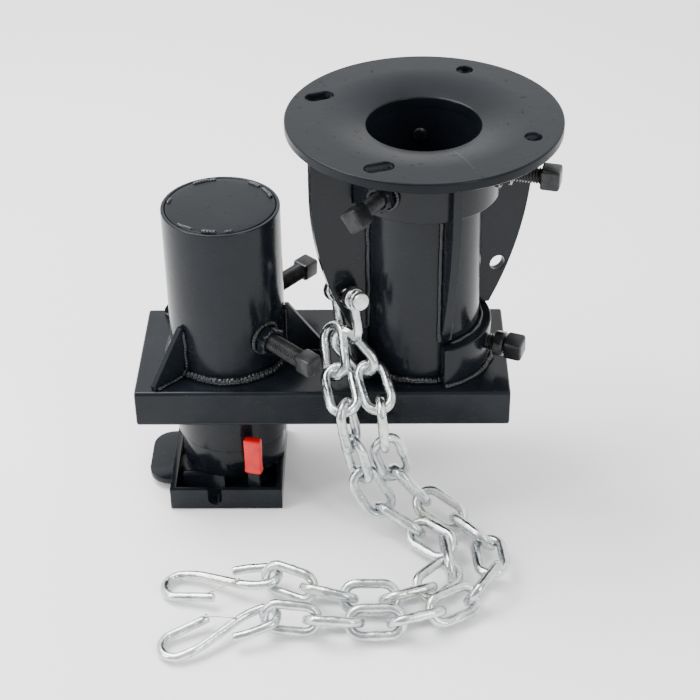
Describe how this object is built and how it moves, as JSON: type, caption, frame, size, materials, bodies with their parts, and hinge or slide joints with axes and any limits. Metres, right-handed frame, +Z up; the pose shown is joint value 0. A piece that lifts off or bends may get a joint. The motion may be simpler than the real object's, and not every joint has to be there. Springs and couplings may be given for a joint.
{
  "type": "fifth wheel hitch adapter",
  "caption": "Offset coupler adapter: king pin column with top plate beside a telescoping gooseneck ball column, on a box beam, with safety chains.",
  "frame": {"origin": "centre of the king pin bore, level with the top plate's flat upper land", "axes": "+Z up along the king pin, +X from the gooseneck column towards the king pin column, -Y the side the chains hang on"},
  "size_m": [0.41, 0.4244, 0.4088],
  "materials": {
    "black_paint": "gloss black enamel over welded steel",
    "black_oxide": "matt black oxide on square-headed screws",
    "zinc": "bright zinc plate on forged and welded chain",
    "red_grip": "dipped red vinyl",
    "spring_steel": "bare spring wire and rod"
  },
  "bodies": {
    "frame": {"top_plate": "black_paint", "king_pin_collar": "black_paint", "king_pin_tube": "black_paint", "left_wing": "black_paint", "right_wing": "black_paint", "front_rib": "black_paint", "back_rib": "black_paint", "front_foot": "black_paint", "back_foot": "black_paint", "collar_nut_1": "black_paint", "collar_nut_2": "black_paint", "collar_nut_3": "black_paint", "beam_tube": "black_paint", "beam_cap_left": "black_paint", "beam_cap_right": "black_paint", "coupler_sleeve": "black_paint", "right_gusset": "black_paint", "front_gusset": "black_paint", "back_gusset": "black_paint", "front_height_nut": "black_paint", "back_height_nut": "black_paint", "shackle": "zinc", "upper_chains": "zinc"},
    "inner_column": {"inner_tube": "black_paint", "inner_tube_cap": "black_paint", "ball_socket": "black_paint", "coupler_tray": "black_paint", "spring_rod": "spring_steel", "latch_spring": "spring_steel"},
    "latch": {"latch_plate": "black_paint", "latch_grip": "red_grip"},
    "collar_screw_1": {"collar_screw_1": "black_oxide"},
    "collar_screw_2": {"collar_screw_2": "black_oxide"},
    "collar_screw_3": {"collar_screw_3": "black_oxide"},
    "foot_bolt": {"foot_bolt": "black_oxide"},
    "jam_nut": {"jam_nut": "black_oxide"},
    "front_height_screw": {"front_height_screw": "black_oxide"},
    "back_height_screw": {"back_height_screw": "black_oxide"},
    "shackle_pin": {"shackle_pin": "zinc"},
    "right_link_11": {"right_link_11": "zinc"},
    "right_link_12": {"right_link_12": "zinc"},
    "right_link_13": {"right_link_13": "zinc"},
    "right_link_14": {"right_link_14": "zinc"},
    "right_hook": {"right_hook": "zinc"},
    "right_hook_latch": {"right_hook_latch": "spring_steel"},
    "left_link_10": {"left_link_10": "zinc"},
    "left_link_11": {"left_link_11": "zinc"},
    "left_link_12": {"left_link_12": "zinc"},
    "left_link_13": {"left_link_13": "zinc"},
    "left_hook": {"left_hook": "zinc"},
    "left_hook_latch": {"left_hook_latch": "spring_steel"}
  },
  "joints": [
    {"name": "column_height", "type": "slide", "parent": "frame", "child": "inner_column", "axis": [0, 0, -1], "range_m": [0, 0.089]},
    {"name": "latch_slide", "type": "slide", "parent": "inner_column", "child": "latch", "axis": [-1, 0, 0], "range_m": [0, 0.016], "stiffness_N_per_m": 400, "springref_m": -0.012, "deforming": ["latch_spring"]},
    {"name": "collar_screw_1_travel", "type": "slide", "parent": "frame", "child": "collar_screw_1", "axis": [0.9659, -0.2588, 0], "range_m": [0, 0.012]},
    {"name": "collar_screw_2_travel", "type": "slide", "parent": "frame", "child": "collar_screw_2", "axis": [-0.5075, -0.8616, 0], "range_m": [0, 0.012]},
    {"name": "collar_screw_3_travel", "type": "slide", "parent": "frame", "child": "collar_screw_3", "axis": [-0.0349, 0.9994, 0], "range_m": [0, 0.012]},
    {"name": "foot_bolt_travel", "type": "slide", "parent": "frame", "child": "foot_bolt", "axis": [0.9272, -0.3746, 0], "range_m": [0, 0.01]},
    {"name": "jam_nut_turn", "type": "hinge", "parent": "foot_bolt", "child": "jam_nut", "pos_m": [0.077, -0.0311, -0.233], "axis": [0.9272, -0.3746, 0], "continuous": true},
    {"name": "front_height_screw_travel", "type": "slide", "parent": "frame", "child": "front_height_screw", "axis": [0.7071, -0.7071, 0], "range_m": [0, 0.014]},
    {"name": "back_height_screw_travel", "type": "slide", "parent": "frame", "child": "back_height_screw", "axis": [0.6428, 0.766, 0], "range_m": [0, 0.014]},
    {"name": "shackle_pin_turn", "type": "hinge", "parent": "frame", "child": "shackle_pin", "pos_m": [-0.0751, -0.0299, -0.175], "axis": [0.5407, -0.8106, 0.2249], "continuous": true},
    {"name": "right_link_11_lift", "type": "hinge", "parent": "frame", "child": "right_link_11", "pos_m": [0.0097, -0.2432, -0.3911], "axis": [-0.316, 0.9488, 0], "range_deg": [0, 10]},
    {"name": "right_link_12_lift", "type": "hinge", "parent": "right_link_11", "child": "right_link_12", "pos_m": [-0.0264, -0.2552, -0.3911], "axis": [-0.0346, 0.9994, 0], "range_deg": [0, 10]},
    {"name": "right_link_13_lift", "type": "hinge", "parent": "right_link_12", "child": "right_link_13", "pos_m": [-0.0658, -0.2565, -0.3911], "axis": [0.0446, 0.999, 0], "range_deg": [0, 10]},
    {"name": "right_link_14_lift", "type": "hinge", "parent": "right_link_13", "child": "right_link_14", "pos_m": [-0.1051, -0.2548, -0.3895], "axis": [0.0734, 0.9973, 0], "range_deg": [0, 10]},
    {"name": "right_hook_lift", "type": "hinge", "parent": "right_link_14", "child": "right_hook", "pos_m": [-0.1497, -0.2515, -0.3892], "axis": [-0.342, 0.9397, 0], "range_deg": [0, 12]},
    {"name": "right_hook_latch_swing", "type": "hinge", "parent": "right_hook", "child": "right_hook_latch", "pos_m": [-0.1752, -0.2533, -0.3871], "axis": [-0.1322, -0.0481, 0.9901], "range_deg": [0, 16], "stiffness_Nm_per_rad": 0.02, "springref_deg": -11.46},
    {"name": "left_link_10_lift", "type": "hinge", "parent": "frame", "child": "left_link_10", "pos_m": [0.001, -0.2113, -0.3908], "axis": [-0.3314, 0.9435, 0], "range_deg": [0, 10]},
    {"name": "left_link_11_lift", "type": "hinge", "parent": "left_link_10", "child": "left_link_11", "pos_m": [-0.032, -0.2229, -0.3911], "axis": [0.0135, 0.9999, 0], "range_deg": [0, 10]},
    {"name": "left_link_12_lift", "type": "hinge", "parent": "left_link_11", "child": "left_link_12", "pos_m": [-0.0714, -0.2224, -0.3913], "axis": [0.2577, 0.9662, 0], "range_deg": [0, 10]},
    {"name": "left_link_13_lift", "type": "hinge", "parent": "left_link_12", "child": "left_link_13", "pos_m": [-0.1094, -0.2122, -0.3891], "axis": [0.3861, 0.9224, 0], "range_deg": [0, 10]},
    {"name": "left_hook_lift", "type": "hinge", "parent": "left_link_13", "child": "left_hook", "pos_m": [-0.1507, -0.1949, -0.389], "axis": [0.0523, 0.9986, 0], "range_deg": [0, 12]},
    {"name": "left_hook_latch_swing", "type": "hinge", "parent": "left_hook", "child": "left_hook_latch", "pos_m": [-0.1756, -0.2006, -0.387], "axis": [0.1421, -0.0074, -0.9898], "range_deg": [0, 16], "stiffness_Nm_per_rad": 0.02, "springref_deg": -11.46}
  ]
}
